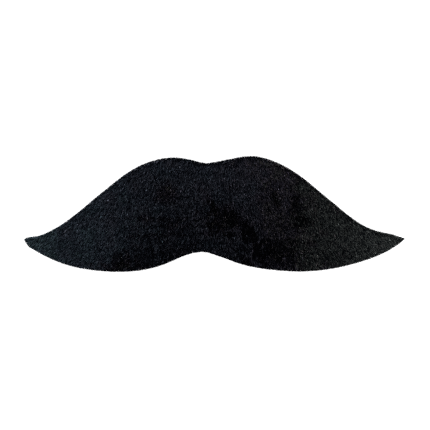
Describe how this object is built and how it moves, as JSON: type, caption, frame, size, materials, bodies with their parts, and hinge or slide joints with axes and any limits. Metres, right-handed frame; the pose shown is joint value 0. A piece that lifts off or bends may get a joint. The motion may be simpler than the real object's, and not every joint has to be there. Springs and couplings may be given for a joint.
{
  "type": "fake moustache",
  "caption": "Flat black short-pile plush moustache, humped either side of a dip under the nose and pointed at its tips, with an adhesive strip on its back.",
  "frame": {"origin": "on the adhesive face, under the middle of the moustache's outline, on the surface that it lies on", "axes": "+X along the moustache to the wearer's left, +Y up towards the nose, +Z out of the pile, away from the lip"},
  "size_m": [0.13, 0.0396, 0.0043],
  "materials": {
    "black_plush": "short brushed pile, matte, fanned out from the middle",
    "release_paper": "smooth silicone-coated paper over adhesive"
  },
  "bodies": {
    "root": {"plush_cloth": "black_plush", "adhesive_strip": "release_paper"}
  },
  "joints": []
}
